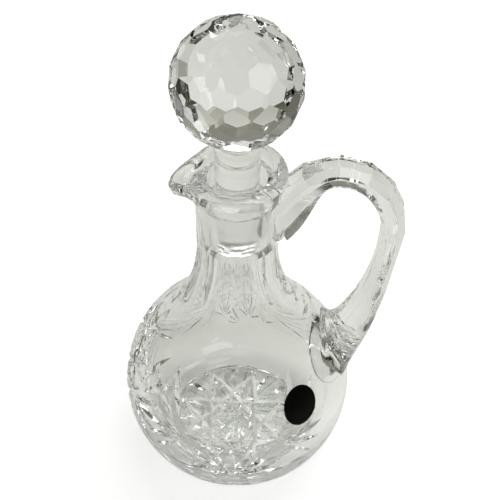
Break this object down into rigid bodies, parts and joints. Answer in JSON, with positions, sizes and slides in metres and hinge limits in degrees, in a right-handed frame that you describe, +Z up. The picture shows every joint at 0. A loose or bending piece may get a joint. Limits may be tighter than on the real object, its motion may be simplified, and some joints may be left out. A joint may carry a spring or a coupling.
{
  "type": "altar cruet",
  "caption": "Ball-shaped cut-crystal cruet with a fluted neck, a pulled pouring spout, an applied loop handle and a facet-cut ball stopper that lifts out of the ground neck.",
  "frame": {"origin": "Centre of the base, on the plane that the cruet stands on.", "axes": "+Z is up along the bottle's axis, +X points to the handle, -Y is the front with a cut star."},
  "size_m": [0.0944, 0.08, 0.1774],
  "materials": {
    "crystal": "clear polished cut crystal, frosted where the plug is ground",
    "foil": "glossy near-black foil label, left bare"
  },
  "bodies": {
    "bottle": {"bottle_body": "crystal", "handle": "crystal", "oval_label": "foil"},
    "stopper": {"stopper": "crystal"}
  },
  "joints": [
    {"name": "stopper_lift", "type": "slide", "parent": "bottle", "child": "stopper", "axis": [0, 0, 1], "range_m": [0, 0.045]}
  ]
}
